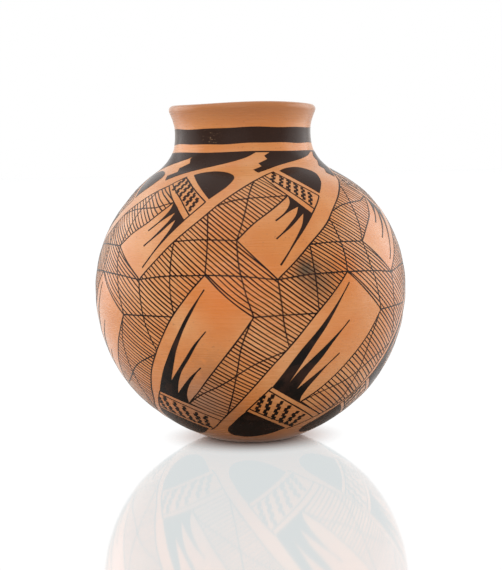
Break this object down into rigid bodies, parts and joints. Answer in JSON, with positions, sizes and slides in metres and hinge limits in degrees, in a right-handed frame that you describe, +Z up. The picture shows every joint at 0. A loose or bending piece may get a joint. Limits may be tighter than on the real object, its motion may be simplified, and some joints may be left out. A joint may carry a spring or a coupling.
{
  "type": "pueblo pottery jar",
  "caption": "Coil-built, hand-burnished earthenware jar: round body, small flat foot, drawn-in shoulder, short neck set slightly off-centre and a flared round lip.",
  "frame": {"origin": "middle of the flat foot, where the jar stands", "axes": "+Z up along the body's axis, +X to the right as seen from the front; the neck stands 3 mm off the axis towards -X"},
  "size_m": [0.2036, 0.2036, 0.218],
  "materials": {
    "fired_clay": "hand-burnished, satin",
    "black_paint": "fired mineral paint, matte to satin"
  },
  "bodies": {
    "root": {"base_pat": "fired_clay", "wall_coil_1": "fired_clay", "wall_coil_2": "fired_clay", "wall_coil_3": "fired_clay", "wall_coil_4": "fired_clay", "wall_coil_5": "fired_clay", "wall_coil_6": "fired_clay", "shoulder_coil_1": "fired_clay", "shoulder_coil_2": "fired_clay", "neck_coil": "fired_clay", "rim_coil": "fired_clay"}
  },
  "joints": []
}
